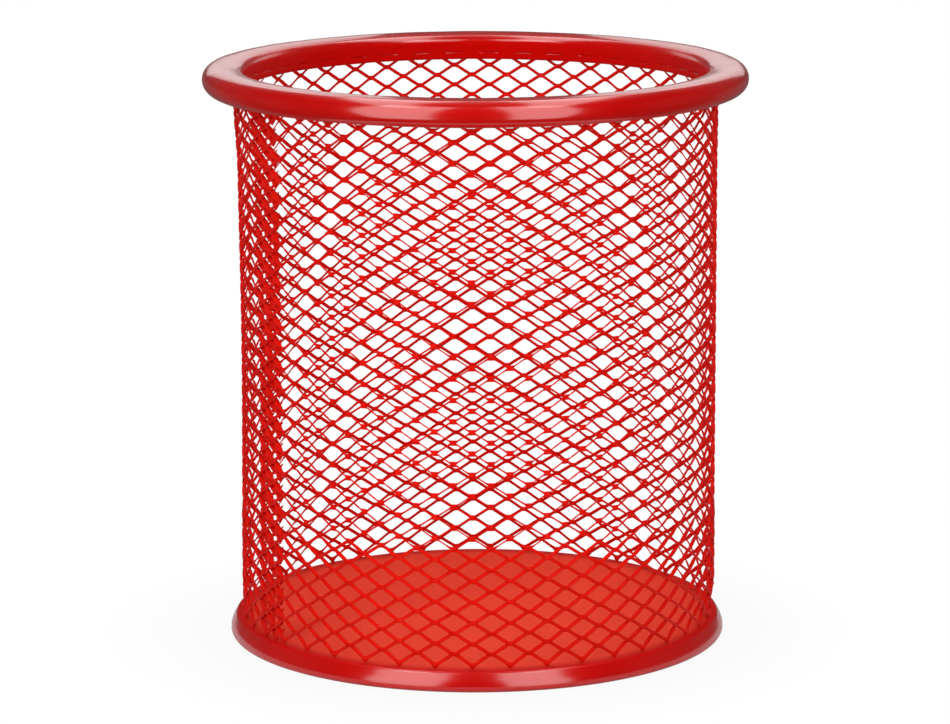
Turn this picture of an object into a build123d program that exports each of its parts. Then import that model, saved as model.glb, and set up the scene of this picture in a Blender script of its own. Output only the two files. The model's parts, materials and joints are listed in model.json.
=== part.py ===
from build123d import *
import math
import os

# Mesh pencil cup: a tube of expanded steel held between a pressed base pan and a rolled rim.
# Millimetres, +Z up. The origin is on the table, in the middle of the foot.

# The cup
overall_height = 95.7
cup_radius = 39.2          # axis to the middle of the mesh sheet
fit_clearance = 0.05       # between the mesh and each piece that it is pushed onto

# The expanded mesh: a lattice of slanted strands that cross at nodes
mesh_thickness = 0.7
strand_width = 0.8
cells_around = 41
half_rows = 52             # rows of nodes from the bottom edge to the top edge, less one

# The rolled rim, a strip that goes up inside the mesh, over, and back under to its outside
rim_sheet = 0.6
rim_width = 6.8            # mouth side of the strip to the outermost point of the bead
rim_leg_drop = 4.1         # top of the cup to the lower edge inside the mouth
rim_engagement = 2.0       # mesh above that lower edge
mouth_corner_radius = 1.6
crown_radius = 10.5
bead_radius = 2.2
hem_radius = 0.9
hem_height = 0.6
crown_apex_share = 0.53    # place of the highest point across the rim's width

# The base pan, one pressing: the floor that the mesh stands on, turned down into a skirt
pan_sheet = 0.5
floor_margin = 0.37        # flat floor outside the mesh
brow_radius = 0.745
skirt_slant = 29.0         # degrees from upright, of the flared skirt
skirt_slope_length = 0.94
skirt_shoulder_radius = 3.0
foot_radius = 0.6
sole_width = 0.6           # flat ring that touches the table

# Fits that follow from the sizes above
facets = 2 * cells_around
half_facet = math.pi / facets
mesh_inner_radius = cup_radius - mesh_thickness / 2
mesh_outer_radius = cup_radius + mesh_thickness / 2
mesh_corner_radius = mesh_outer_radius / math.cos(half_facet)
socket_radius = mesh_inner_radius - fit_clearance     # what the mesh is pushed onto
slant = math.radians(skirt_slant)
brow_drop = brow_radius * (1 - math.sin(slant))
skirt_drop = skirt_slope_length * math.cos(slant) + skirt_shoulder_radius * math.sin(slant)
floor_height = foot_radius + skirt_drop + brow_drop
floor_radius = mesh_corner_radius + floor_margin
mesh_bottom = floor_height + fit_clearance
mesh_top = overall_height - rim_leg_drop + rim_engagement

UP = (0, 1)
OUTWARD = (1, 0)
QUARTER = math.degrees(math.pi / 2)
HALF = 2 * QUARTER


def strip_side(start, heading, runs, inset):
    """One side of a bent strip, as lines and tangent arcs, set in to the right of its shown side.

    A run is (length, 0) where the strip is straight, and (radius, turn) where it bends. The
    turn is in degrees, to the left if positive, and the radius is that of the shown side.
    """
    way = Vector(*heading)
    place = Vector(*start) + Vector(way.Y, -way.X) * inset
    edges = []
    for size, turn in runs:
        if turn == 0:
            edge = Line(place, place + way * size)
        else:
            edge = JernArc(place, way, size + math.copysign(inset, turn), turn)
        edges.append(edge)
        place = edge @ 1
        way = edge % 1
    return edges


def spun_strip(start, heading, runs, sheet):
    """Turn the section of a bent strip about the axis of the cup."""
    shown = strip_side(start, heading, runs, 0)
    hidden = strip_side(start, heading, runs, sheet)
    first_end = Line(shown[0] @ 0, hidden[0] @ 0)
    last_end = Line(shown[-1] @ 1, hidden[-1] @ 1)
    section = make_face(shown + [last_end] + hidden + [first_end])
    return revolve(Plane.XZ * section, axis=Axis.Z)


def top_rim():
    """Rolled bead: mouth leg, corner, crown, round outside, underside and a hem against the mesh."""
    mouth_radius = socket_radius - rim_sheet
    leg_bottom = overall_height - rim_leg_drop
    corner_reach = crown_radius - mouth_corner_radius
    bead_reach = crown_radius - bead_radius
    corner_offset = crown_apex_share * rim_width - mouth_corner_radius
    bead_offset = (1 - crown_apex_share) * rim_width - bead_radius
    corner_tilt = math.degrees(math.asin(corner_offset / corner_reach))
    bead_tilt = math.degrees(math.asin(bead_offset / bead_reach))
    corner_height = overall_height - crown_radius + math.sqrt(corner_reach**2 - corner_offset**2)
    hem_outside = mesh_corner_radius + fit_clearance + hem_radius
    runs = [
        (corner_height - leg_bottom, 0),
        (mouth_corner_radius, corner_tilt - QUARTER),
        (crown_radius, -corner_tilt - bead_tilt),
        (bead_radius, bead_tilt - HALF),
        (mouth_radius + rim_width - bead_radius - hem_outside, 0),
        (hem_radius, -QUARTER),
        (hem_height, 0),
    ]
    return spun_strip((mouth_radius, leg_bottom), UP, runs, rim_sheet)


def base_pan():
    """Pressed pan: flat floor, brow, flared skirt, shoulder, foot and the sole on the table."""
    runs = [
        (floor_radius, 0),
        (brow_radius, skirt_slant - QUARTER),
        (skirt_slope_length, 0),
        (skirt_shoulder_radius, -skirt_slant),
        (foot_radius, -QUARTER),
        (sole_width, 0),
    ]
    return spun_strip((0, floor_height), OUTWARD, runs, pan_sheet)


def strand_band(half_width, reach, notch):
    """Corners of the zigzag of strands on one flat facet, as two sides going up.

    Strands slant from one edge line of the facet to the other and back. Each edge line
    carries every second node. A side is a list of (across, up, is_on_the_edge_line).
    """
    pitch = (mesh_top - mesh_bottom) / half_rows
    sides = []
    for direction, first in ((-1, 0), (1, 1)):
        side = []
        for row in range(half_rows + 1):
            level = mesh_bottom + row * pitch
            if row % 2 != first:
                side.append((-direction * notch, level, False))
                continue
            if row > 0:
                side.append((direction * half_width, level - reach, True))
            if row == 0 or row == half_rows:
                side.append((direction * half_width, level, True))
            if row < half_rows:
                side.append((direction * half_width, level + reach, True))
        sides.append(side)
    return sides


def mesh_wall():
    """Expanded mesh tube: one flat facet for each half cell, bent at the lines of nodes."""
    outer_half = mesh_outer_radius * math.tan(half_facet)
    inner_half = mesh_inner_radius * math.tan(half_facet)
    slope = (mesh_top - mesh_bottom) / half_rows / (2 * outer_half)
    reach = strand_width / 2 * math.sqrt(1 + slope**2)
    inner_reach = reach + slope * (outer_half - inner_half)
    notch = outer_half - reach / slope
    outer_band = strand_band(outer_half, reach, notch)
    inner_band = strand_band(inner_half, inner_reach, notch)

    faces = []
    for facet in range(facets):
        turn = (2 * facet + 1) * half_facet
        mirror = 1 if facet % 2 == 0 else -1
        outward = Vector(math.sin(turn), -math.cos(turn), 0)
        across = Vector(math.cos(turn), math.sin(turn), 0)

        def place(corner, radius):
            return outward * radius + across * (mirror * corner[0]) + Vector(0, 0, corner[1])

        outer = [[place(corner, mesh_outer_radius) for corner in side] for side in outer_band]
        inner = [[place(corner, mesh_inner_radius) for corner in side] for side in inner_band]
        for left, right in (outer, inner):
            faces.append(Face(Wire.make_polygon(right + left[::-1])))
        for band_side, outer_side, inner_side in zip(outer_band, outer, inner):
            for low in range(len(band_side) - 1):
                high = low + 1
                if band_side[low][2] and band_side[high][2]:
                    continue
                ring = [outer_side[low], outer_side[high], inner_side[high], inner_side[low]]
                faces.append(Face(Wire.make_polygon(ring)))
        for end in (0, -1):
            ring = [outer[0][end], outer[1][end], inner[1][end], inner[0][end]]
            faces.append(Face(Wire.make_polygon(ring)))
    return Solid(Shell(faces))


os.makedirs("parts", exist_ok=True)
pieces = {"base_pan": base_pan(), "mesh_wall": mesh_wall(), "top_rim": top_rim()}
for name, piece in pieces.items():
    export_step(piece, os.path.join("parts", name + ".step"), write_pcurves=False)
    size = piece.bounding_box().size
    print(name, "volume", round(piece.volume, 1), "size", [round(v, 2) for v in size])
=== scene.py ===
# %% [markdown]
# # A mesh pencil cup
# The cup is three pieces of painted steel: a tube of expanded mesh, a rolled rim that is crimped
# over the tube's top edge, and a pressed pan that closes the bottom. The imported CAD model is the
# frame of this lesson. It says where everything is, in metres, with +Z up and the viewer on the
# -Y side. It is loaded first.

# %% Load the frame
import json
import math

import bpy
import numpy as np
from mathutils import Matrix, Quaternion, Vector


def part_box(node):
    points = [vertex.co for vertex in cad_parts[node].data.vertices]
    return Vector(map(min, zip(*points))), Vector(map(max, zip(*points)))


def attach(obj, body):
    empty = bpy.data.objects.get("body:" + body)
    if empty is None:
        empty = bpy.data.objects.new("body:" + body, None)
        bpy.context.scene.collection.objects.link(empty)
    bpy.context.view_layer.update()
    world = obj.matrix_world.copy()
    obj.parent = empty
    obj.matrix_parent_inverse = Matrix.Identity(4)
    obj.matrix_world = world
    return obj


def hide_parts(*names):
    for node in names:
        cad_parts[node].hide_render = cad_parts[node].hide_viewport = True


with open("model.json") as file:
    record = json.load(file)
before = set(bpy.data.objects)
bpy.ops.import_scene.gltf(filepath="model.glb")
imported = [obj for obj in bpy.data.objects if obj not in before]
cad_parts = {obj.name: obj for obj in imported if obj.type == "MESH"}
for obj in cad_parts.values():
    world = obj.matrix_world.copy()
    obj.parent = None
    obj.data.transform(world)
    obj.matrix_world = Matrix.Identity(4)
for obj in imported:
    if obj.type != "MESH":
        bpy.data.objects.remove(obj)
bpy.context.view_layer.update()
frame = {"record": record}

# %% [markdown]
# ## The sizes that the pieces share
# The rim, the mesh and the pan fit into each other, so a few sizes drive all three. They come from
# the frame where it has them: the record gives the radius of the mouth, and the boxes of the CAD
# nodes give the heights.

# %% Shared sizes
MM = 0.001
mounts = {mount["name"]: mount for mount in frame["record"]["mounts"]}
MOUTH_RADIUS = mounts["mouth"]["dims"]["r_mm"] * MM
RIM_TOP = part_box("top_rim")[1].z
MESH_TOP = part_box("mesh_wall")[1].z
PAN_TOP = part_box("base_pan")[1].z
print("mouth radius", MOUTH_RADIUS, "tops of rim, mesh and pan", RIM_TOP, MESH_TOP, PAN_TOP)

# %% [markdown]
# ## The camera
# The camera comes first, because every later choice is judged through it. Its distance, height and
# lens were worked out from the ellipses of the rim and the foot and from the spacing of the mesh.
# It stands a little to the right of -Y, so that one column of mesh nodes falls on the -Y line of
# the frame. A long lens from far away gives the calm perspective of a catalogue picture.

# %% Camera
IMAGE_WIDTH = 950
FOCAL_PIXELS = 4230
SENSOR_WIDTH = 36.0
CAMERA_DISTANCE = 706 * MM
CAMERA_ELEVATION = math.radians(11.58)
CAMERA_AZIMUTH = math.radians(1.04)
CAMERA_ROLL = math.radians(-0.17)
AIM_ACROSS = -0.21 * MM
AIM_HEIGHT = 45.46 * MM
CLIP_NEAR, CLIP_FAR = 10 * MM, 20


def add_camera():
    """Camera on a sphere round the aim point, turned to look at it, then rolled about its view."""
    right = Vector((math.cos(CAMERA_AZIMUTH), math.sin(CAMERA_AZIMUTH), 0))
    back = Vector((math.sin(CAMERA_AZIMUTH), -math.cos(CAMERA_AZIMUTH), 0))
    back = back * math.cos(CAMERA_ELEVATION)
    back.z = math.sin(CAMERA_ELEVATION)
    aim = right * AIM_ACROSS + Vector((0, 0, AIM_HEIGHT))
    data = bpy.data.cameras.new("photo_camera")
    data.sensor_width = SENSOR_WIDTH
    data.lens = SENSOR_WIDTH * FOCAL_PIXELS / IMAGE_WIDTH
    data.clip_start, data.clip_end = CLIP_NEAR, CLIP_FAR
    camera = bpy.data.objects.new("photo_camera", data)
    camera.rotation_mode = "QUATERNION"
    camera.location = aim + back * CAMERA_DISTANCE
    camera.rotation_quaternion = Quaternion(back, CAMERA_ROLL) @ (-back).to_track_quat("-Z", "Y")
    bpy.context.scene.collection.objects.link(camera)
    bpy.context.scene.camera = camera
    return camera


camera = add_camera()
print("camera at", [round(v, 4) for v in camera.location], "lens", round(camera.data.lens, 1))

# %% [markdown]
# ## From a grid of points to a piece
# Every piece here is a bent sheet, so its skin is a grid: one direction runs along the piece, the
# other runs round its section. One helper joins neighbouring points with quads and closes the grid
# where it meets itself. It works on whole arrays, so a mesh of a hundred thousand faces takes no more
# code than a small one. Each piece rides on the body of the cup and stands for a CAD node.

# %% Skin helper
def skin(name, grid, closed_along=True, node=""):
    """Object whose faces join the points of grid[strip, along, round].

    The section is always closed. A strip that is open along its length gets a flat cap at each end.
    """
    strips, along, around, _ = grid.shape
    index = np.arange(strips * along * around).reshape(strips, along, around)
    ahead, beside = np.roll(index, -1, axis=1), np.roll(index, -1, axis=2)
    corner = np.roll(ahead, -1, axis=2)
    quads = np.stack([index, beside, corner, ahead], axis=-1)
    ends = []
    if not closed_along:
        quads = quads[:, :-1]
        ends = [index[:, 0, ::-1], index[:, -1, :]]
    faces = [quads.reshape(-1, 4)] + ends
    totals = np.concatenate([np.full(len(part), part.shape[1]) for part in faces])
    corners = np.concatenate([part.ravel() for part in faces])
    mesh = bpy.data.meshes.new(name)
    mesh.vertices.add(index.size)
    mesh.vertices.foreach_set("co", grid.astype(np.float32).ravel())
    mesh.loops.add(len(corners))
    mesh.loops.foreach_set("vertex_index", corners.astype(np.int32))
    mesh.polygons.add(len(totals))
    mesh.polygons.foreach_set("loop_start", (np.cumsum(totals) - totals).astype(np.int32))
    mesh.polygons.foreach_set("loop_total", totals.astype(np.int32))
    mesh.update(calc_edges=True)
    mesh.validate()
    mesh.shade_smooth()
    piece = bpy.data.objects.new(name, mesh)
    bpy.context.scene.collection.objects.link(piece)
    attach(piece, "root")
    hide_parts(node)
    print(name, "faces", len(mesh.polygons))
    return piece


# %% [markdown]
# ## Bent sheet
# The rim and the pan are both pressed from strip or disc: in section, a sheet of even thickness that
# goes straight and bends, straight and bends. The section is walked like a path. Complex numbers
# make that short: a heading is a number of length one, and a bend multiplies it by a turn. The cut
# edges of the sheet are rounded off, as paint does.

# %% Section of a bent sheet
BEND_STEP = math.radians(7)
FEWEST_BEND_STEPS = 4
EDGE_STEPS = 5
STRAIGHT_SHARES = np.array([0.12, 0.5, 0.88, 1.0])


def sheet_section(start, heading, runs, sheet, rounded_ends=(True, True)):
    """Closed outline of a bent sheet as points radius + 1j * height.

    A run is (length, 0) or (radius, turn in degrees, left positive), measured on the shown side. An
    arc turns the vector from its centre by equal steps. The hidden side is the shown side moved one
    sheet to its right, and half circles close the two cut edges.
    """
    place, way = complex(*start), complex(*heading)
    shown, ways = [np.array([place])], [np.array([way])]
    for size, turn in runs:
        if turn == 0:
            points = place + way * size * STRAIGHT_SHARES
            headings = np.full(len(points), way)
        else:
            bend = math.radians(turn)
            steps = max(FEWEST_BEND_STEPS, math.ceil(abs(bend) / BEND_STEP))
            turns = np.exp(1j * bend * np.arange(1, steps + 1) / steps)
            centre = place + 1j * way * math.copysign(size, bend)
            points = centre + (place - centre) * turns
            headings = way * turns
        shown.append(points)
        ways.append(headings)
        place, way = points[-1], headings[-1]
    shown, ways = np.concatenate(shown), np.concatenate(ways)
    hidden = shown - 1j * ways * sheet
    half_turn = np.exp(-1j * np.pi * np.arange(1, EDGE_STEPS) / EDGE_STEPS)
    outline = [shown]
    if rounded_ends[1]:
        outline.append((shown[-1] + hidden[-1]) / 2 + 0.5j * ways[-1] * sheet * half_turn)
    outline.append(hidden[::-1])
    if rounded_ends[0]:
        outline.append((shown[0] + hidden[0]) / 2 - 0.5j * ways[0] * sheet * half_turn)
    return np.concatenate(outline)


# %% [markdown]
# A section becomes a piece when it is turned about the axis. A Screw or Spin tool would do that too,
# but a grid that is turned here can be changed at every angle. There are nine steps for each of the
# 41 cells of the mesh, so that marks on the rim can follow the cells.

# %% Turning about the axis
CELLS = 41
TURN_STEPS = 9 * CELLS
turn_angles = 2 * np.pi * np.arange(TURN_STEPS) / TURN_STEPS


def spun(section):
    """Grid of the section turned about the axis: radius along sin and -cos of the angle, height kept.

    section is radius + 1j * height, one row for all angles or one row for each angle.
    """
    section = np.broadcast_to(section, (TURN_STEPS, section.shape[-1]))
    sine, cosine = np.sin(turn_angles)[:, None], np.cos(turn_angles)[:, None]
    return np.stack([section.real * sine, -section.real * cosine, section.imag], axis=-1)[None]


print("steps round the axis", TURN_STEPS)

# %% [markdown]
# ## The rolled rim
# The rim is a strip rolled into a bead: a short leg inside the mouth, a tight corner, a flat crown,
# a round outside, and a hem that turns up against the outside of the mesh. It could be a torus, but
# then the mouth would have no straight band and the top no flat light. Near its lower edge the leg
# gets extra points, for the crimp marks of the next step.

# %% Section of the rim
RIM_SHEET = 0.6 * MM
RIM_WIDTH = 6.8 * MM
CORNER_RADIUS, CROWN_RADIUS = 1.6 * MM, 10.5 * MM
BEAD_RADIUS, HEM_RADIUS, HEM_HEIGHT = 2.2 * MM, 0.9 * MM, 0.6 * MM
CROWN_SHARE = 0.53
LEG_DROP = 4.1 * MM
LEG_BOTTOM = RIM_TOP - LEG_DROP
HEM_OUTSIDE = 40.53 * MM
CRIMP_HEIGHT, CRIMP_SPREAD, CRIMP_DEPTH = 0.85 * MM, 0.13 * MM, 0.2 * MM


def rim_section():
    """Leg, corner, crown, bead, underside and hem; each tilt is where two arcs touch."""
    corner_reach, bead_reach = CROWN_RADIUS - CORNER_RADIUS, CROWN_RADIUS - BEAD_RADIUS
    corner_offset = CROWN_SHARE * RIM_WIDTH - CORNER_RADIUS
    bead_offset = (1 - CROWN_SHARE) * RIM_WIDTH - BEAD_RADIUS
    corner_tilt = math.degrees(math.asin(corner_offset / corner_reach))
    bead_tilt = math.degrees(math.asin(bead_offset / bead_reach))
    leg_top = RIM_TOP - CROWN_RADIUS + math.sqrt(corner_reach**2 - corner_offset**2)
    runs = [
        (CRIMP_HEIGHT - 2 * CRIMP_SPREAD, 0),
        *[(CRIMP_SPREAD / 2, 0)] * 8,
        (leg_top - LEG_BOTTOM - CRIMP_HEIGHT - 2 * CRIMP_SPREAD, 0),
        (CORNER_RADIUS, corner_tilt - 90),
        (CROWN_RADIUS, -corner_tilt - bead_tilt),
        (BEAD_RADIUS, bead_tilt - 180),
        (MOUTH_RADIUS + RIM_WIDTH - BEAD_RADIUS - HEM_OUTSIDE, 0),
        (HEM_RADIUS, -90),
        (HEM_HEIGHT, 0),
    ]
    return sheet_section((MOUTH_RADIUS, LEG_BOTTOM), (0, 1), runs, RIM_SHEET)


rim_outline = rim_section()
print("points of the rim's section", len(rim_outline))

# %% [markdown]
# Rolling wheels never leave a rim quite even, so its radius and height waver by a few hundredths of
# a millimetre, which breaks up the reflections. The leg has a row of small crimp marks, one for each
# cell of the mesh, where it was pressed out against the strands. A bump texture could draw them, but
# then the edge of each mark would cast no shade, so the points of the leg move instead.

# %% Rim with its waver and crimp marks
RIM_WAVER = 0.03 * MM
WAVER_WAVES = ((5, 0.7, 1.0), (13, 2.1, 0.6), (29, 0.0, 0.4))    # count, phase and size
BACK_DRIFT = 0.01675      # half of the angle by which the mesh's columns have drifted at the back
CRIMP_SOFTNESS, CRIMP_REACH = 0.5, 0.7


def crimp_marks(section):
    """How far each point of the leg moves out: a bell over its height times a window over each cell.

    The window is the cosine that peaks once in a cell, stretched and cut off at 0 and 1.
    """
    on_leg = section.real < MOUTH_RADIUS + 0.1 * RIM_SHEET
    bell = np.exp(-(((section.imag - LEG_BOTTOM - CRIMP_HEIGHT) / CRIMP_SPREAD) ** 2)) * on_leg
    even = turn_angles - BACK_DRIFT * (1 - np.cos(turn_angles))
    window = np.clip(np.cos(CELLS * even) / CRIMP_SOFTNESS + CRIMP_REACH, 0, 1)
    return CRIMP_DEPTH * window[:, None] * bell[None, :]


waver = sum(size * np.sin(count * turn_angles + phase) for count, phase, size in WAVER_WAVES)
inward = RIM_WAVER * (0.5 + 0.5j) * (waver - waver.min())[:, None]
rim_rings = rim_outline[None, :] - inward + crimp_marks(rim_outline)
rim = skin("top_rim_rolled", spun(rim_rings), node="top_rim")

# %% [markdown]
# ## The pressed pan
# The pan is one disc: a flat floor that the pencils and the mesh stand on, whose edge is turned down
# over a round brow into a skirt that flares out to a rounded foot. It is turned like the rim. Its
# section starts and ends on the axis, where all the points of a ring meet in one, so those rings are
# merged and the floor closes in a fan.

# %% Pan
import bmesh

PAN_SHEET = 0.5 * MM
PAN_FLOOR_RADIUS = 39.949 * MM
BROW_RADIUS = 0.745 * MM
SKIRT_SLANT, SLOPE_LENGTH, SHOULDER_RADIUS = 29, 0.94 * MM, 3.0 * MM
FOOT_RADIUS, SOLE_WIDTH = 0.6 * MM, 0.6 * MM
WELD_DISTANCE = 0.001 * MM


def pan_section():
    """Flat floor, brow, skirt, shoulder, foot and sole; heights below the table are raised to it."""
    runs = [
        (PAN_FLOOR_RADIUS, 0),
        (BROW_RADIUS, SKIRT_SLANT - 90),
        (SLOPE_LENGTH, 0),
        (SHOULDER_RADIUS, -SKIRT_SLANT),
        (FOOT_RADIUS, -90),
        (SOLE_WIDTH, 0),
    ]
    section = sheet_section((0, PAN_TOP), (1, 0), runs, PAN_SHEET, (False, True))
    return section.real + 1j * np.maximum(section.imag, 0)


def merge_poles(piece):
    """Weld the points that meet on the axis into one, and drop the faces that this leaves empty."""
    work = bmesh.new()
    work.from_mesh(piece.data)
    bmesh.ops.remove_doubles(work, verts=work.verts, dist=WELD_DISTANCE)
    work.to_mesh(piece.data)
    work.free()


pan = skin("base_pan_pressed", spun(pan_section()), node="base_pan")
merge_poles(pan)
print("pan faces after welding the poles", len(pan.data.polygons))

# %% [markdown]
# ## The expanded mesh
# Expanded metal is a sheet that is slit in rows and pulled open. Each row of it is a ribbon that
# zigzags: it is joined to the ribbon below at every second column, and to the ribbon above at the
# columns between. The rows are even, apart from the lower half of the tube, which is drawn out a
# little. The lowest joints end in teeth that stand on the floor of the pan.

# %% Rows of the mesh
HALF_ROWS = 52
LOWEST_JOINT = PAN_TOP + 0.79 * MM
LOW_STRETCH = 0.3 * MM
ROW_PITCH = (MESH_TOP - LOWEST_JOINT - LOW_STRETCH) / HALF_ROWS


def smooth_step(low, high, value):
    """0 below low, 1 above high, and between them the cubic that starts and ends level."""
    share = np.clip((value - low) / (high - low), 0, 1)
    return share * share * (3 - 2 * share)


def row_level(row, rise):
    """Height of a row's foot: even steps, plus the stretch that is shared out over the lower half."""
    return LOWEST_JOINT + LOW_STRETCH * smooth_step(0, HALF_ROWS // 2, row + rise) + row * ROW_PITCH


print("rows", HALF_ROWS, "pitch in mm", round(ROW_PITCH / MM, 3))

# %% [markdown]
# Thin mesh is never quite round or straight. This tube stands out a little on the right, it is a
# little hollow half way up on the left, and it is drawn out where the rim grips it. A Lattice or a
# Simple Deform modifier could bend a straight tube, but one formula for the radius does it exactly.

# %% Shape of the wall
MESH_RADIUS = 39.15 * MM
RIGHT_FULLNESS, FULL_LOW, FULL_HIGH = 0.5 * MM, 5 * MM, 9 * MM
LEFT_HOLLOW, HOLLOW_HEIGHT, HOLLOW_SPREAD = 0.32 * MM, 49 * MM, 24 * MM
TOP_FLARE, LEFT_TOP_FLARE, FLARE_LOW, FLARE_HIGH = 0.1 * MM, 0.45 * MM, 78 * MM, 91 * MM
WAIST, WAIST_HIGH, WAIST_LOW = 0.1 * MM, 8 * MM, 5.6 * MM
FOOT_FLARE, FOOT_HIGH, FOOT_LOW = 0.3 * MM, 5.2 * MM, 3.6 * MM


def wall_radius(height, angle):
    """Radius of the wall: a plain radius plus or minus one smooth step or bell for each unevenness.

    left goes round the tube from 0 on the right to 1 on the left, as half of 1 minus the sine.
    """
    left = 0.5 - 0.5 * np.sin(angle)
    full = RIGHT_FULLNESS * (1 - left) ** 2 * smooth_step(FULL_LOW, FULL_HIGH, height)
    hollow = LEFT_HOLLOW * left**2 * np.exp(-(((height - HOLLOW_HEIGHT) / HOLLOW_SPREAD) ** 2))
    top_flare = (TOP_FLARE + LEFT_TOP_FLARE * left) * smooth_step(FLARE_LOW, FLARE_HIGH, height)
    waist = WAIST * smooth_step(WAIST_HIGH, WAIST_LOW, height)
    foot_flare = FOOT_FLARE * smooth_step(FOOT_HIGH, FOOT_LOW, height)
    return MESH_RADIUS + full - hollow + top_flare - waist + foot_flare


front_radius = wall_radius(np.array([0.1, 0.5, 0.9]) * RIM_TOP, 0.0)
print("front radius low, half way and high, in mm", np.round(front_radius / MM, 2))

# %% [markdown]
# Pulling twists every strand: it stands upright where it is joined and leans over like a slat
# between the joints. A flat lattice would miss that. The lean isn't the same all round the tube: the
# strands on the upper front are seen edge-on, as thin lines, and those behind and low down lean in
# by 36 degrees and look broad. Paint makes strands wider where it pools: in the lapped seam on the
# left of the front, and a little at both sides.

# %% Lean of the strands and paint on them
SEAM_ANGLE, SEAM_WIDTH = math.radians(-59.2), math.radians(10.5)
SIDE_BLEND = 0.25
LOW_ROWS_TOP, LOW_ROWS_BLEND = 21.5 * MM, 2.5 * MM
SEAM_LEAN_SHARES = (0.5, 0.9)
SEAM_PAINT_SHARES = (0.4, 0.75)
SIDE_PAINT_SINES = (0.94, 0.99)
SEAM_FILL, SIDE_FILL = 0.5, 0.3


def off_seam(angle):
    """Angle between a place and the middle of the seam, the short way round, in seam widths."""
    return np.arccos(np.cos(angle - SEAM_ANGLE)) / SEAM_WIDTH


def edge_share(height, angle):
    """1 where the strands are seen edge-on: the front, above the low rows and away from the seam."""
    front = smooth_step(-SIDE_BLEND, SIDE_BLEND, np.cos(angle))
    high = smooth_step(LOW_ROWS_TOP, LOW_ROWS_TOP + LOW_ROWS_BLEND, height)
    return front * high * smooth_step(*SEAM_LEAN_SHARES, off_seam(angle))


def paint_fill(angle):
    """How many times wider paint makes a strand: 1, plus a share in the seam and one at both sides."""
    seam = 1 - smooth_step(*SEAM_PAINT_SHARES, off_seam(angle))
    sides = smooth_step(*SIDE_PAINT_SINES, np.abs(np.sin(angle)))
    return 1 + SEAM_FILL * seam + SIDE_FILL * sides


print("widest paint on a strand", round(float(paint_fill(SEAM_ANGLE)), 2))

# %% [markdown]
# A ribbon's place is worked out for all rows and columns at once. The section is a flat lozenge with
# its edges rounded off by the paint. It is carried along the zigzag and turned as it goes.

# %% Ribbons of the mesh
STRAND_THICKNESS, EDGE_ROUND = 0.2 * MM, 0.05 * MM
BROAD_LEAN, EDGE_LEAN = math.radians(-36), math.radians(73)
BROAD_WIDTH, EDGE_WIDTH = 0.74 * MM, 0.46 * MM
BOND_HEIGHT, BOND_LIFT = 0.54 * MM, 0.13 * MM
BOND_SHARE, RISE_EASE = 0.12, 0.1
FRONT_BOND = 1.2
TWIST_START, TWIST_END = 0.08, 0.27
TOOTH_STUB = 0.6 * MM
ROW_STEP = 0.03 * MM


def ribbons(rows, columns, angle, radius_shift=0.0):
    """Grid [row, column sample, section point] of the zigzag ribbons.

    columns counts half cells along the wall, and angle is where each of them stands. The lift goes
    from 0 at a joint with the row below to 1 at a joint with the row above, and the rise follows it,
    level over the joint and nearly straight between. The twist is 0 at a joint and 1 between: it
    tips the wide direction of the section from upright by the lean of that place, outwards if
    positive, and takes its width from that of a bond to that of a strand. The thin direction is
    square to that and to the run of the strand. Every second row stands a hair further out, so that
    two rows don't share a face where they are joined. The lowest row has a stub below each joint.
    """
    row = rows[:, None]
    lift = 1 - np.abs((columns[None, :] - row) % 2 - 1)
    twist = smooth_step(TWIST_START, TWIST_END, np.minimum(lift, 1 - lift))
    ramp = np.clip((lift - BOND_SHARE) / (1 - 2 * BOND_SHARE), 0, 1)
    rise = (1 - RISE_EASE) * ramp + RISE_EASE * smooth_step(0, 1, ramp)
    height = row_level(row, rise) + BOND_LIFT + (ROW_PITCH - 2 * BOND_LIFT) * rise
    angle = np.broadcast_to(angle, height.shape)

    edge_on = edge_share(height, angle)
    tilt = (BROAD_LEAN + (EDGE_LEAN - BROAD_LEAN) * edge_on) * twist
    strand = BROAD_WIDTH + (EDGE_WIDTH - BROAD_WIDTH) * edge_on
    bond = BOND_HEIGHT * (1 + (FRONT_BOND - 1) * edge_on)
    half = paint_fill(angle) * (bond + (strand - bond) * twist) / 2

    outward = np.stack([np.sin(angle), -np.cos(angle), np.zeros_like(angle)], axis=-1)
    radius = wall_radius(height, angle) + radius_shift + ROW_STEP * (row % 2)
    middle = outward * radius[..., None]
    middle[..., 2] = height
    wide = outward * np.sin(tilt)[..., None]
    wide[..., 2] = np.cos(tilt)
    thin = np.cross(np.gradient(middle, axis=1), wide)
    thin /= np.linalg.norm(thin, axis=-1, keepdims=True)

    lower = half + TOOTH_STUB * smooth_step(TWIST_END, 0, lift) * (row == 0)
    side = np.full_like(half, STRAND_THICKNESS / 2)
    across = np.stack([half, half - EDGE_ROUND, EDGE_ROUND - lower, -lower,
                       EDGE_ROUND - lower, half - EDGE_ROUND], axis=-1)
    through = np.stack([0 * side, side, side, 0 * side, -side, -side], axis=-1)
    return (middle[:, :, None] + across[..., None] * wide[:, :, None]
            + through[..., None] * thin[:, :, None])


# %% [markdown]
# The samples along a ribbon are closest together where it bends, near its joints. The columns of
# joints drift a little on the way to the back, as those of a hand-rolled tube do. The wall is made in
# two pieces, a lower and an upper one, each of a size that other programs open easily.

# %% Wall of mesh
SAMPLE_SHARES = np.array([0, 0.1, 0.22, 0.4, 0.6, 0.78, 0.9])
OVERHANG = 3

columns = (np.arange(2 * CELLS)[:, None] + SAMPLE_SHARES).ravel()
even_angle = columns * np.pi / CELLS
column_angle = even_angle + BACK_DRIFT * (1 - np.cos(even_angle))


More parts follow.
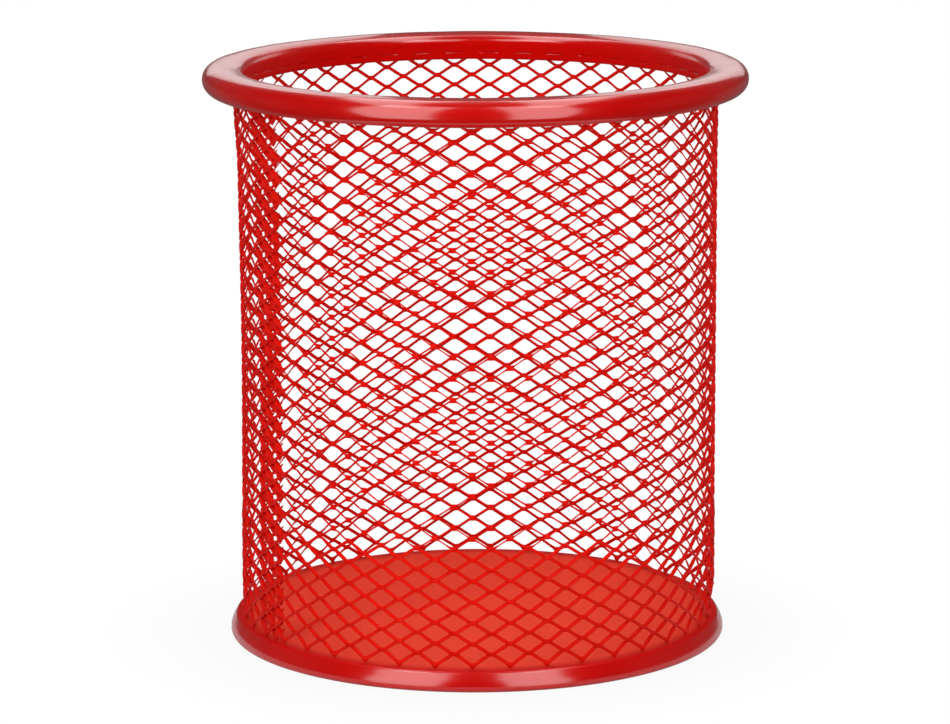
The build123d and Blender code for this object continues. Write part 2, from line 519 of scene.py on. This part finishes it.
def ring_ribbons(rows):
    """Ribbons that go all the way round; a few samples past each end keep the runs true there."""
    wrap = np.arange(-OVERHANG, len(columns) + OVERHANG)
    turns = wrap // len(columns)
    wrapped = wrap % len(columns)
    grid = ribbons(rows, columns[wrapped] + turns * 2 * CELLS, column_angle[wrapped] + turns * 2 * np.pi)
    return grid[:, OVERHANG:-OVERHANG]


lower_rows, upper_rows = np.split(np.arange(HALF_ROWS), 2)
wall_lower = skin("mesh_wall_lower", ring_ribbons(lower_rows), node="mesh_wall")
wall_upper = skin("mesh_wall_upper", ring_ribbons(upper_rows), node="mesh_wall")

# %% [markdown]
# ## The lapped seam
# The tube is a flat strip of mesh that is bent round, and its two ends lap by about one cell on the
# left of the front. The lap shows as a darker, denser band. It is the same ribbons again over a few
# columns, set inwards and out of step with the wall, with cut ends.

# %% Seam
SEAM_INSET = 0.3 * MM
SEAM_STEP = 1.4
SEAM_SAMPLES = 17

seam_samples = np.linspace(-0.5, 0.5, SEAM_SAMPLES) * SEAM_WIDTH
seam_columns = seam_samples * CELLS / np.pi + SEAM_STEP
seam_ribbons = ribbons(np.arange(HALF_ROWS), seam_columns, SEAM_ANGLE + seam_samples, -SEAM_INSET)
seam = skin("mesh_seam_lap", seam_ribbons, closed_along=False, node="mesh_wall")

# %% [markdown]
# ## Small helpers for nodes
# Materials are trees of nodes. Clicking them together is quick once, but here a few kinds come back
# again and again, so each kind gets a helper that adds the node, feeds its inputs and hands back its
# output. An input takes a plain value or the output of another node.

# %% Node helpers
def feed(tree, socket, value):
    """Link another node's output to the socket, or set the socket to a plain value."""
    if isinstance(value, bpy.types.NodeSocket):
        tree.links.new(value, socket)
    else:
        socket.default_value = value


def math_node(tree, operation, *values):
    """Math node: the operation on the values."""
    node = tree.nodes.new("ShaderNodeMath")
    node.operation = operation
    for socket, value in zip(node.inputs, values):
        feed(tree, socket, value)
    return node.outputs["Value"]


def ramp_node(tree, value, low, high, interpolation="SMOOTHSTEP", to_low=0.0, to_high=1.0):
    """Map Range node: to_low where the value is low, to_high where it is high, a ramp between."""
    node = tree.nodes.new("ShaderNodeMapRange")
    node.interpolation_type = interpolation
    names = ("Value", "From Min", "From Max", "To Min", "To Max")
    for name, given in zip(names, (value, low, high, to_low, to_high)):
        feed(tree, node.inputs[name], given)
    return node.outputs["Result"]


def mix_node(tree, kind, factor, first, second):
    """Mix node for FLOAT or RGBA: the first value where the factor is 0, the second where it is 1."""
    node = tree.nodes.new("ShaderNodeMix")
    node.data_type = kind
    shown = [socket for socket in node.inputs if socket.enabled]
    for socket, value in zip(shown, (factor, first, second)):
        feed(tree, socket, value)
    return next(socket for socket in node.outputs if socket.enabled)


# %% [markdown]
# Two more helpers suit this object. Noise gives the soft patches that paint has. The distance from
# the axis tells the inside of the cup from its outside, and the middle of the table from its edge.

# %% Helpers for patches and for the distance from the axis
def noise_node(tree, place, scale, detail):
    """Noise Texture node: soft values about one half, in patches of one part in scale of a metre."""
    node = tree.nodes.new("ShaderNodeTexNoise")
    for name, value in (("Vector", place), ("Scale", scale), ("Detail", detail)):
        feed(tree, node.inputs[name], value)
    return node.outputs["Fac"]


def axis_distance(tree, place):
    """Two Vector Math nodes: the length of the place with its height taken out."""
    flat = tree.nodes.new("ShaderNodeVectorMath")
    flat.operation = "MULTIPLY"
    flat.inputs[1].default_value = (1, 1, 0)
    tree.links.new(place, flat.inputs[0])
    length = tree.nodes.new("ShaderNodeVectorMath")
    length.operation = "LENGTH"
    tree.links.new(flat.outputs["Vector"], length.inputs[0])
    return length.outputs["Value"]


# %% [markdown]
# ## Red enamel
# All three pieces are dipped in the same red. Up close it isn't one flat colour: it is a little
# deeper where it pooled, it has the soft ripple called orange peel, and a few specks of dust sit in
# it. The outside of the rim and of the pan is polished, while the inside is dull. The floor of the
# pan gets a paler red that is painted light, for the light that falls in from above, with painted
# shade where it darkens towards the edge. All that is one node group, used by every material with
# its own values. First come its sockets, which are what a material can choose.

# %% Sockets of the enamel group
ENAMEL_INPUTS = (
    ("Red", "NodeSocketColor", (0.6, 0.002, 0.001, 1)),
    ("Deep Red", "NodeSocketColor", (0.45, 0.001, 0.001, 1)),
    ("Gloss Roughness", "NodeSocketFloat", 0.2),
    ("Ripple Scale", "NodeSocketFloat", 600.0),
    ("Speck Amount", "NodeSocketFloat", 0.3),
    ("Painted Light Red", "NodeSocketColor", (0.6, 0.002, 0.001, 1)),
    ("Dull Roughness", "NodeSocketFloat", 0.65),
    ("Painted Light Radius", "NodeSocketFloat", 0.0),
    ("Dull Radius", "NodeSocketFloat", 0.0),
    ("Gloss Radius", "NodeSocketFloat", 0.001),
)
ENAMEL_OUTPUTS = (("Color", "NodeSocketColor"), ("Roughness", "NodeSocketFloat"),
                  ("Gloss", "NodeSocketFloat"), ("Height", "NodeSocketFloat"))

enamel = bpy.data.node_groups.new("enamel_coat", "ShaderNodeTree")
for name, kind, value in ENAMEL_INPUTS:
    socket = enamel.interface.new_socket(name, in_out="INPUT", socket_type=kind)
    socket.default_value = value
for name, kind in ENAMEL_OUTPUTS:
    enamel.interface.new_socket(name, in_out="OUTPUT", socket_type=kind)
print("enamel inputs", len(ENAMEL_INPUTS), "and outputs", len(ENAMEL_OUTPUTS))

# %% [markdown]
# Then come its nodes. They read Object coordinates, so the ripple keeps its real size on every piece.
# The roughness and the coat follow the distance from the axis. Ripple and specks are only some
# thousandths of a millimetre high, so they are a height for a bump and not geometry.

# %% Nodes of the enamel group
POOL_SCALE, HAZE_SCALE, DUST_SCALE = 55, 240, 160
POOL_LOW, POOL_HIGH = 0.35, 0.7
HAZE_LOW, HAZE_HIGH = 0.8, 1.2
SPECK_EDGE, SPECK_TOP = 0.09, 0.02


def fill_enamel(group):
    """Polished red and painted light red by the distance from the axis.

    Outside, the colour goes between two reds by soft noise, roughness varies by finer noise, and
    ripple and specks make the height. Inside, the roughness is dull, and from the dull radius in to
    the painted light radius the colour goes over to the painted light red: a paler red painted on the
    pan's floor for light from above, with painted shade where it darkens towards the edge.
    """
    given = group.nodes.new("NodeGroupInput").outputs
    put_out = group.nodes.new("NodeGroupOutput").inputs
    place = group.nodes.new("ShaderNodeTexCoord").outputs["Object"]
    radius = axis_distance(group, place)
    gloss = ramp_node(group, radius, given["Dull Radius"], given["Gloss Radius"])

    pool = ramp_node(group, noise_node(group, place, POOL_SCALE, 3), POOL_LOW, POOL_HIGH, "LINEAR")
    polished = mix_node(group, "RGBA", pool, given["Red"], given["Deep Red"])
    # painted light: a paler red inside the painted light radius, and painted shade where it goes back to
    # the polished red towards the dull radius
    kept = ramp_node(group, radius, given["Painted Light Radius"], given["Dull Radius"])
    color = mix_node(group, "RGBA", kept, given["Painted Light Red"], polished)

    grain = noise_node(group, place, HAZE_SCALE, 2)
    haze = ramp_node(group, grain, 0.0, 1.0, "LINEAR", HAZE_LOW, HAZE_HIGH)
    smooth = math_node(group, "MULTIPLY", haze, given["Gloss Roughness"])
    roughness = mix_node(group, "FLOAT", gloss, given["Dull Roughness"], smooth)

    ripple = noise_node(group, place, given["Ripple Scale"], 1)
    dust = group.nodes.new("ShaderNodeTexVoronoi")
    dust.inputs["Scale"].default_value = DUST_SCALE
    group.links.new(place, dust.inputs["Vector"])
    speck = ramp_node(group, dust.outputs["Distance"], SPECK_EDGE, SPECK_TOP)
    height = math_node(group, "MULTIPLY_ADD", speck, given["Speck Amount"], ripple)
    relief = math_node(group, "MULTIPLY", height, gloss)
    for name, value in (("Color", color), ("Roughness", roughness), ("Gloss", gloss), ("Height", relief)):
        group.links.new(value, put_out[name])


fill_enamel(enamel)
print("enamel group nodes", len(enamel.nodes))

# %% [markdown]
# Each piece gets its own material around that group. The shader stays in the material, where the
# export can read it. Under the clear coat, the paint's own glint is tinted red, so that pale
# reflections stay warm.

# %% Enamel material
RED_GLINT = (1, 0.03, 0.02, 1)
PAINT_IOR, COAT_IOR = 1.5, 1.7
COAT_ROUGHNESS = 0.15


def enamel_material(name, pieces, values, ripple_depth, specular):
    """Principled paint: the group gives colour, roughness and coat, and a bump turns height to normals."""
    material = bpy.data.materials.new(name)
    material.use_nodes = True
    nodes, links = material.node_tree.nodes, material.node_tree.links
    shader = nodes["Principled BSDF"]
    coat = nodes.new("ShaderNodeGroup")
    coat.node_tree = enamel
    for key, value in values.items():
        coat.inputs[key].default_value = value
    bump = nodes.new("ShaderNodeBump")
    bump.inputs["Distance"].default_value = ripple_depth
    bump.inputs["Strength"].default_value = 1.0
    links.new(coat.outputs["Color"], shader.inputs["Base Color"])
    links.new(coat.outputs["Roughness"], shader.inputs["Roughness"])
    links.new(coat.outputs["Gloss"], shader.inputs["Coat Weight"])
    links.new(coat.outputs["Height"], bump.inputs["Height"])
    links.new(bump.outputs["Normal"], shader.inputs["Normal"])
    shader.inputs["IOR"].default_value = PAINT_IOR
    shader.inputs["Specular IOR Level"].default_value = specular
    shader.inputs["Specular Tint"].default_value = RED_GLINT
    shader.inputs["Coat Roughness"].default_value = COAT_ROUGHNESS
    shader.inputs["Coat IOR"].default_value = COAT_IOR
    for piece in pieces:
        piece.data.materials.append(material)
    print(name, "on", [piece.name for piece in pieces])


# %% [markdown]
# The rim is polished from its mouth outwards, with a soft ripple and a few specks of dust. It is dull
# on the leg inside the mouth.

# %% Enamel on the rim
RIM_RED, RIM_DEEP_RED = (0.47, 0.001, 0.0002, 1), (0.42, 0.0008, 0.0002, 1)
enamel_material("rim_enamel", [rim], {
    "Red": RIM_RED, "Deep Red": RIM_DEEP_RED, "Gloss Roughness": 0.4, "Ripple Scale": 420,
    "Speck Amount": 0.5, "Dull Roughness": 0.6,
    "Dull Radius": MOUTH_RADIUS + 0.05 * MM, "Gloss Radius": MOUTH_RADIUS + 0.15 * MM,
}, ripple_depth=0.008 * MM, specular=0.7)

# %% [markdown]
# The pan is polished beyond the edge of its floor, on the brow and the skirt. On the floor the paint
# is dull. Its paler red there is painted light, for the light that falls on the floor from above, and
# towards the edge it goes back to the deeper red as painted shade next to the mesh.

# %% Enamel on the pan
# painted light: the pan's reds are brighter than the rim's, though it is the same paint, to lift the shade
# near the mesh
PAN_RED_WITH_PAINTED_LIGHT, PAN_DEEP_RED_WITH_PAINTED_LIGHT = (0.54, 0.001, 0.0002, 1), (0.49, 0.0008, 0.0002, 1)
# painted light on the floor: a paler red for the light from above, which from this radius outwards darkens
# as painted shade towards the edge
FLOOR_PAINTED_LIGHT_RED, FLOOR_PAINTED_LIGHT_RADIUS = (0.93, 0.075, 0.038, 1), 36.8 * MM
enamel_material("pan_enamel", [pan], {
    "Red": PAN_RED_WITH_PAINTED_LIGHT, "Deep Red": PAN_DEEP_RED_WITH_PAINTED_LIGHT, "Gloss Roughness": 0.4, "Ripple Scale": 380,
    "Speck Amount": 0.3, "Painted Light Red": FLOOR_PAINTED_LIGHT_RED, "Dull Roughness": 0.7,
    "Painted Light Radius": FLOOR_PAINTED_LIGHT_RADIUS,
    "Dull Radius": PAN_FLOOR_RADIUS + 0.1 * MM, "Gloss Radius": PAN_FLOOR_RADIUS + 0.6 * MM,
}, ripple_depth=0.005 * MM, specular=0.7)

# %% [markdown]
# The strands of the mesh are too thin to show polish. They get a brighter red than the rim, though it
# is the same paint: painted light, for the light that the strands catch. The coat hardly begins on
# them, because their gloss radius lies far outside the wall.

# %% Enamel on the mesh
# painted light: a brighter red than the rim's, though it is the same paint
MESH_RED_WITH_PAINTED_LIGHT, MESH_DEEP_RED_WITH_PAINTED_LIGHT = (0.66, 0.006, 0.002, 1), (0.6, 0.004, 0.001, 1)
enamel_material("mesh_enamel", [wall_lower, wall_upper, seam], {
    "Red": MESH_RED_WITH_PAINTED_LIGHT, "Deep Red": MESH_DEEP_RED_WITH_PAINTED_LIGHT, "Gloss Roughness": 0.45, "Ripple Scale": 900,
    "Speck Amount": 0.0, "Dull Roughness": 0.5,
    "Dull Radius": MESH_RADIUS - 0.4 * MM, "Gloss Radius": MESH_RADIUS + 6 * MM,
}, ripple_depth=0.01 * MM, specular=0.3)

# %% [markdown]
# ## The white table
# The picture is a catalogue shot: the cup stands on a small white table in front of a white backdrop.
# The table is a disc of rings and spokes that belongs to the stage, not to the cup.

# %% Table
TABLE_RADIUS = 70 * MM
TABLE_RINGS, TABLE_SPOKES = 12, 96
INNER_RING_SHARE = 0.02
TABLE_DROP = 0.02 * MM


def add_table():
    """Disc just under the sole: ring radii in even steps, spokes along sin and -cos of their angle."""
    rings = np.linspace(INNER_RING_SHARE, 1, TABLE_RINGS)[:, None] * TABLE_RADIUS
    spokes = 2 * np.pi * np.arange(TABLE_SPOKES)[None, :] / TABLE_SPOKES
    points = np.stack([rings * np.sin(spokes), -rings * np.cos(spokes), 0 * rings * spokes], axis=-1)
    index = np.arange(points.shape[0] * points.shape[1]).reshape(points.shape[:2])
    beside = np.roll(index, -1, axis=1)
    quads = np.stack([index[:-1], index[1:], beside[1:], beside[:-1]], axis=-1).reshape(-1, 4)
    mesh = bpy.data.meshes.new("table_top")
    mesh.from_pydata(points.reshape(-1, 3).tolist(), [], quads.tolist() + [index[0].tolist()])
    mesh.update()
    table = bpy.data.objects.new("table_top", mesh)
    bpy.context.scene.collection.objects.link(table)
    table.location.z = -TABLE_DROP
    return table


table = add_table()
print("table faces", len(table.data.polygons))

# %% [markdown]
# A table in plain grey paint would show its edge against the white backdrop. So the camera sees it as
# a mix of plain white and of a diffuse surface that takes the cup's shadow, and the white takes over
# towards the edge. Glossy rays see a little of the same white, so that the paint mirrors the table.

# %% White of the table
TABLE_GREY = (0.5, 0.5, 0.5, 1)
FADE_START = 36 * MM
WHITE_UNDER_CUP = 0.92
GLOSSY_WHITE = 0.15


def table_material():
    """Mix of diffuse grey and white emission.

    The camera's share of white goes from most under the cup to all at the edge. Glossy rays get a
    small share, and all other rays get none, so the table lights the cup as a plain surface does.
    """
    material = bpy.data.materials.new("white_table")
    material.use_nodes = True
    tree = material.node_tree
    tree.nodes.clear()
    out = tree.nodes.new("ShaderNodeOutputMaterial")
    ray = tree.nodes.new("ShaderNodeLightPath").outputs
    diffuse = tree.nodes.new("ShaderNodeBsdfDiffuse")
    diffuse.inputs["Color"].default_value = TABLE_GREY
    white = tree.nodes.new("ShaderNodeEmission")
    radius = axis_distance(tree, tree.nodes.new("ShaderNodeTexCoord").outputs["Object"])
    fade = ramp_node(tree, radius, FADE_START, TABLE_RADIUS, "SMOOTHERSTEP", WHITE_UNDER_CUP, 1.0)
    seen = math_node(tree, "MULTIPLY", ray["Is Camera Ray"], fade)
    white_share = math_node(tree, "MULTIPLY_ADD", ray["Is Glossy Ray"], GLOSSY_WHITE, seen)
    mix = tree.nodes.new("ShaderNodeMixShader")
    tree.links.new(white_share, mix.inputs["Fac"])
    tree.links.new(diffuse.outputs["BSDF"], mix.inputs[1])
    tree.links.new(white.outputs["Emission"], mix.inputs[2])
    tree.links.new(mix.outputs["Shader"], out.inputs["Surface"])
    return material


table.data.materials.append(table_material())
print("table is", table.data.materials[0].name)

# %% [markdown]
# ## Backdrop and room
# The backdrop is the world. The camera sees it plain white. To everything else it is a dim room, with
# a faint glow behind the cup where the white paper hangs, and a little more below the horizon where
# the paper sweeps on to the table. A bright white world would wash the deep red out of the rim.

# %% Backdrop and room
BACKDROP_WHITE = 1.0
BACKDROP_GLOW, SWEEP_GLOW = 0.05, 0.1
ROOM_DIM = 0.015
BEHIND_STEP, ABOVE_STEP, BELOW_STEP = (0.3, 0.7), (0.0, 0.12), (0.06, -0.02)


def add_world():
    """White to the camera, a dim room to the rest, and the white sweep behind the cup to reflections.

    The sweep is a product of two steps of the ray's direction: behind the cup (Y) and below the
    horizon (Z), where the table runs on to the backdrop. Above it, only a faint glow is left.
    """
    world = bpy.data.worlds.new("studio")
    bpy.context.scene.world = world
    world.use_nodes = True
    tree = world.node_tree
    background = tree.nodes["Background"]
    background.inputs["Color"].default_value = (1, 1, 1, 1)
    split = tree.nodes.new("ShaderNodeSeparateXYZ")
    tree.links.new(tree.nodes.new("ShaderNodeTexCoord").outputs["Generated"], split.inputs["Vector"])
    ray = tree.nodes.new("ShaderNodeLightPath").outputs
    behind = ramp_node(tree, split.outputs["Y"], *BEHIND_STEP)
    above = ramp_node(tree, split.outputs["Z"], *ABOVE_STEP)
    below = ramp_node(tree, split.outputs["Z"], *BELOW_STEP)
    mirrored = math_node(tree, "MAXIMUM", ray["Is Glossy Ray"], ray["Is Transmission Ray"])
    sweep = math_node(tree, "MULTIPLY", math_node(tree, "MULTIPLY", below, mirrored), SWEEP_GLOW)
    backdrop = math_node(tree, "MULTIPLY_ADD", above, BACKDROP_GLOW, sweep)
    room = math_node(tree, "MULTIPLY_ADD", behind, backdrop, ROOM_DIM)
    strength = mix_node(tree, "FLOAT", ray["Is Camera Ray"], room, BACKDROP_WHITE)
    tree.links.new(strength, background.inputs["Strength"])
    return world


world = add_world()
print("world nodes", len(world.node_tree.nodes))

# %% [markdown]
# ## Lamps
# A lamp's brightness is given here as radiance, so a lamp can be made larger without looking
# brighter in a reflection. The camera doesn't see the lamps themselves.

# %% Lamp helpers
CUP_MIDDLE = Vector((0, 0, 50 * MM))


def add_lamp(name, width, length, radiance):
    """Rectangular lamp; its power is its radiance times pi times its area."""
    lamp = bpy.data.lights.new(name, "AREA")
    lamp.shape = "RECTANGLE"
    lamp.size, lamp.size_y = width, length
    lamp.energy = radiance * math.pi * width * length
    softbox = bpy.data.objects.new(name, lamp)
    softbox.visible_camera = False
    bpy.context.scene.collection.objects.link(softbox)
    return softbox


def face(lamp, target):
    """Turn a lamp so that its light, which goes along its own -Z, goes to the target."""
    lamp.rotation_mode = "QUATERNION"
    lamp.rotation_quaternion = (target - lamp.location).to_track_quat("-Z", "Y")


# %% [markdown]
# Two tall softboxes stand left and right of the camera. The rim and the skirt show them as two pale
# windows, with deep red between and beside them. They reach from below the table to high above the
# cup, so that every slope of the round bead finds them.

# %% Softboxes
FRONT_RADIANCE = 2.7
SOFTBOX_DISTANCE = 0.62
SOFTBOX_LOW, SOFTBOX_HIGH = -0.6, 0.95
FRONT_SOFTBOXES = (("softbox_left", -32.3, 0.374), ("softbox_right", 28.5, 0.32))    # azimuth, width


def add_front_softbox(name, azimuth, width):
    """Tall softbox at an azimuth from -Y, in degrees, facing the middle of the cup."""
    softbox = add_lamp(name, width, SOFTBOX_HIGH - SOFTBOX_LOW, FRONT_RADIANCE)
    turn = math.radians(azimuth)
    softbox.location = (SOFTBOX_DISTANCE * math.sin(turn), -SOFTBOX_DISTANCE * math.cos(turn),
                        (SOFTBOX_LOW + SOFTBOX_HIGH) / 2)
    face(softbox, CUP_MIDDLE)
    return softbox


softboxes = [add_front_softbox(*given) for given in FRONT_SOFTBOXES]
print("softboxes", [softbox.name for softbox in softboxes])

# %% [markdown]
# Two long strips hang overhead and carry those windows on over the round shoulder of the rim. Two
# shorter ones, high behind the cup, carry them on to its crown. The gap between left and right keeps
# the middle of the rim deep red.

# %% Strips above and behind
OVERHEAD_RADIANCE, REAR_RADIANCE = 2.8, 1.4
OVERHEAD_WIDTH, OVERHEAD_LENGTH, OVERHEAD_HEIGHT = 0.2, 1.05, 0.72
OVERHEAD_ACROSS, OVERHEAD_TURN = 0.23, math.radians(14.7)
REAR_WIDTH, REAR_LENGTH, REAR_HEIGHT = 0.12, 0.5, 0.64
REAR_ACROSS, REAR_BACK = 0.15, 0.58


def add_overhead_strip(name, side):
    """Long lamp that looks straight down, on one side (-1 or 1) of the middle, turned in plan."""
    strip = add_lamp(name, OVERHEAD_WIDTH, OVERHEAD_LENGTH, OVERHEAD_RADIANCE)
    strip.location = (side * OVERHEAD_ACROSS, 0, OVERHEAD_HEIGHT)
    strip.rotation_euler = (0, 0, side * OVERHEAD_TURN)
    return strip


def add_rear_strip(name, side):
    """Narrow lamp high behind the cup, on one side (-1 or 1) of the middle, facing the rim."""
    strip = add_lamp(name, REAR_WIDTH, REAR_LENGTH, REAR_RADIANCE)
    strip.location = (side * REAR_ACROSS, REAR_BACK, REAR_HEIGHT)
    face(strip, Vector((0, 0, RIM_TOP)))
    return strip


strips = [add_overhead_strip("strip_left", -1), add_overhead_strip("strip_right", 1),
          add_rear_strip("rear_left", -1), add_rear_strip("rear_right", 1)]
print("strips", [strip.name for strip in strips])

# %% [markdown]
# Two small panels stand close behind the cup, a little above the rim. The level part of the crown
# mirrors them on the left and on the right, with a gap between them as well. Cards at both sides and
# below the table only lift the shade: they give soft light, and glossy paint doesn't mirror them.

# %% Panels and bounce cards
PANEL_RADIANCE, SIDE_BOUNCE, LOW_BOUNCE = 0.9, 1.3, 0.6
PANEL_INNER, PANEL_OUTER = 0.019, 0.085
PANEL_TALL, PANEL_BACK, PANEL_HEIGHT = 0.06, 0.1, 0.135
BOUNCE_CARDS = (
    ("bounce_left", (-0.74, 0.13, 0.1), 0.7, SIDE_BOUNCE),
    ("bounce_right", (0.74, 0.13, 0.1), 0.7, SIDE_BOUNCE),
    ("bounce_below", (0, 0, -0.3), 1.0, LOW_BOUNCE),
)


def add_rear_panel(name, side):
    """Upright panel behind the cup, on one side (-1 or 1) of the middle, facing the viewer."""
    panel = add_lamp(name, PANEL_OUTER - PANEL_INNER, PANEL_TALL, PANEL_RADIANCE)
    panel.location = (side * (PANEL_INNER + PANEL_OUTER) / 2, PANEL_BACK, PANEL_HEIGHT)
    panel.rotation_euler = (-math.pi / 2, 0, 0)
    return panel


def add_bounce_card(name, place, size, radiance):
    """Square card that faces the cup; it is soft light only."""
    card = add_lamp(name, size, size, radiance)
    card.location = place
    face(card, CUP_MIDDLE)
    card.visible_glossy = False
    return card


panels = [add_rear_panel("panel_left", -1), add_rear_panel("panel_right", 1)]
cards = [add_bounce_card(*given) for given in BOUNCE_CARDS]
print("panels and cards", [lamp.name for lamp in panels + cards])

# %% [markdown]
# The Standard view transform keeps the reds as they are written.

# %% Finish
bpy.context.scene.view_settings.view_transform = "Standard"
